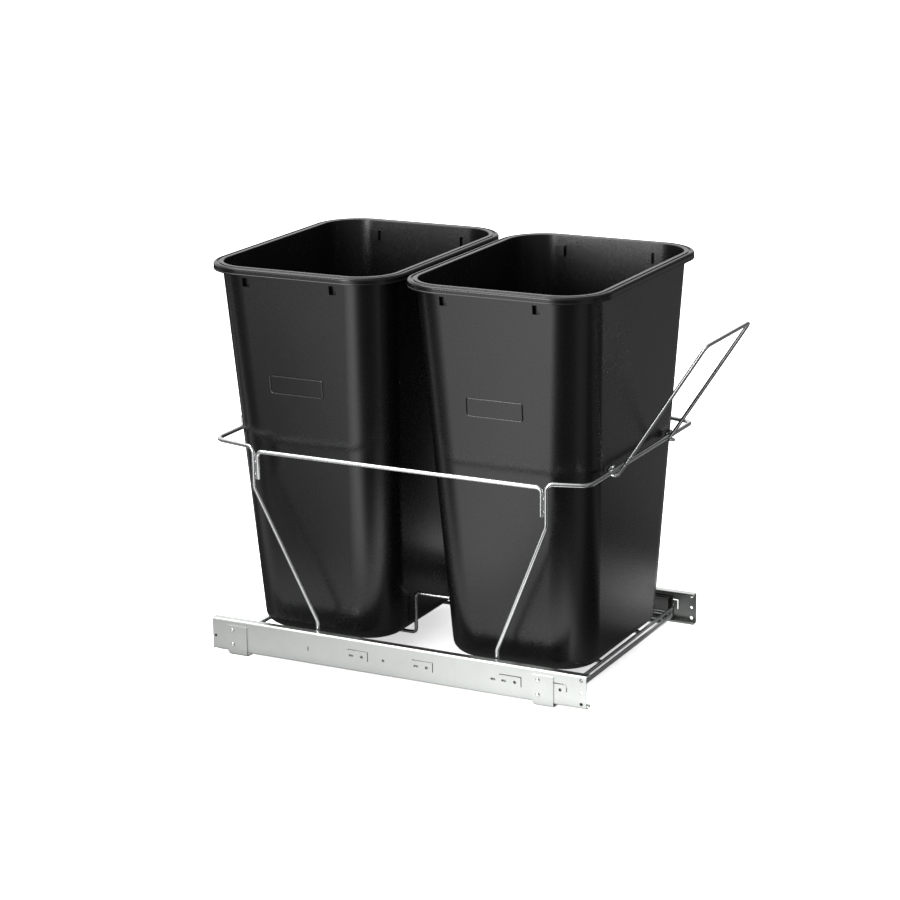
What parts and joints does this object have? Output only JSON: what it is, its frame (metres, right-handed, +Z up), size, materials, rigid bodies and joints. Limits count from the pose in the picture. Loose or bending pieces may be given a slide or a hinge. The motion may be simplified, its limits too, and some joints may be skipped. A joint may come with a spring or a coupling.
{
  "type": "pull out trash cabinet",
  "caption": "Tapered lift-out bins in a chrome wire frame with a bail handle, riding on full-extension ball-bearing slides that stand on floor brackets.",
  "frame": {"origin": "on the cabinet floor, in the middle of the unit's plan with the unit pushed in and the handle at rest", "axes": "+Z up; -Y is the way the unit pulls out, towards the user; +X to the right as the user faces it"},
  "size_m": [0.3858, 0.6786, 0.5401],
  "materials": {
    "zinc_steel": "zinc-plated rolled sheet",
    "bright_steel": "bright plated",
    "chrome_wire": "polished chrome plate",
    "black_plastic": "semi-matte moulded",
    "rubber": "matte"
  },
  "bodies": {
    "slide_base": {"left_cabinet_member": "black_plastic", "left_stop_bumper": "rubber", "left_rear_bracket": "zinc_steel", "left_rear_lower_rivet": "bright_steel", "left_rear_upper_rivet": "bright_steel", "left_front_bracket": "zinc_steel", "left_front_lower_rivet": "bright_steel", "left_front_upper_rivet": "bright_steel", "right_cabinet_member": "black_plastic", "right_stop_bumper": "rubber", "right_rear_bracket": "zinc_steel", "right_rear_lower_rivet": "bright_steel", "right_rear_upper_rivet": "bright_steel", "right_front_bracket": "zinc_steel", "right_front_lower_rivet": "bright_steel", "right_front_upper_rivet": "bright_steel"},
    "carriage": {"left_drawer_member": "zinc_steel", "left_rear_tab": "chrome_wire", "left_front_tab": "chrome_wire", "left_tab_screw_1": "bright_steel", "left_tab_screw_2": "bright_steel", "left_tab_screw_3": "bright_steel", "left_tab_screw_4": "bright_steel", "right_drawer_member": "zinc_steel", "right_rear_tab": "chrome_wire", "right_front_tab": "chrome_wire", "right_tab_screw_1": "bright_steel", "right_tab_screw_2": "bright_steel", "right_tab_screw_3": "bright_steel", "right_tab_screw_4": "bright_steel", "base_loop": "chrome_wire", "toe_wire": "chrome_wire", "front_end_loop": "chrome_wire", "rear_end_loop": "chrome_wire", "left_under_bin_wire": "chrome_wire", "left_side_rail": "chrome_wire", "left_rear_hook": "chrome_wire", "right_under_bin_wire": "chrome_wire", "right_side_rail": "chrome_wire", "right_rear_hook": "chrome_wire"},
    "left_middle": {"left_middle_member": "zinc_steel"},
    "left_outer_cage": {"left_outer_ball_cage": "zinc_steel"},
    "left_inner_cage": {"left_inner_ball_cage": "zinc_steel"},
    "right_middle": {"right_middle_member": "zinc_steel"},
    "right_outer_cage": {"right_outer_ball_cage": "zinc_steel"},
    "right_inner_cage": {"right_inner_ball_cage": "zinc_steel"},
    "bail": {"bail_handle": "chrome_wire"},
    "front_bin_body": {"front_bin": "black_plastic"},
    "rear_bin_body": {"rear_bin": "black_plastic"}
  },
  "joints": [
    {"name": "pull_out", "type": "slide", "parent": "slide_base", "child": "carriage", "axis": [0, -1, 0], "range_m": [0, 0.55]},
    {"name": "left_middle_slide", "type": "slide", "parent": "slide_base", "child": "left_middle", "axis": [0, -1, 0], "range_m": [0, 0.275]},
    {"name": "left_outer_cage_roll", "type": "slide", "parent": "slide_base", "child": "left_outer_cage", "axis": [0, -1, 0], "range_m": [0, 0.1375]},
    {"name": "left_inner_cage_roll", "type": "slide", "parent": "slide_base", "child": "left_inner_cage", "axis": [0, -1, 0], "range_m": [0, 0.4125]},
    {"name": "right_middle_slide", "type": "slide", "parent": "slide_base", "child": "right_middle", "axis": [0, -1, 0], "range_m": [0, 0.275]},
    {"name": "right_outer_cage_roll", "type": "slide", "parent": "slide_base", "child": "right_outer_cage", "axis": [0, -1, 0], "range_m": [0, 0.1375]},
    {"name": "right_inner_cage_roll", "type": "slide", "parent": "slide_base", "child": "right_inner_cage", "axis": [0, -1, 0], "range_m": [0, 0.4125]},
    {"name": "bail_swing", "type": "hinge", "parent": "carriage", "child": "bail", "pos_m": [0, -0.21932, 0.298], "axis": [1, 0, 0], "range_deg": [-30, 0]},
    {"name": "front_bin_lift", "type": "slide", "parent": "carriage", "child": "front_bin_body", "axis": [0, 0, 1], "range_m": [0, 0.3]},
    {"name": "rear_bin_lift", "type": "slide", "parent": "carriage", "child": "rear_bin_body", "axis": [0, 0, 1], "range_m": [0, 0.3]}
  ],
  "couplings": [
    {"joint": "left_middle_slide", "follows": "pull_out", "ratio": 0.5},
    {"joint": "left_outer_cage_roll", "follows": "pull_out", "ratio": 0.25},
    {"joint": "left_inner_cage_roll", "follows": "pull_out", "ratio": 0.75},
    {"joint": "right_middle_slide", "follows": "pull_out", "ratio": 0.5},
    {"joint": "right_outer_cage_roll", "follows": "pull_out", "ratio": 0.25},
    {"joint": "right_inner_cage_roll", "follows": "pull_out", "ratio": 0.75}
  ]
}
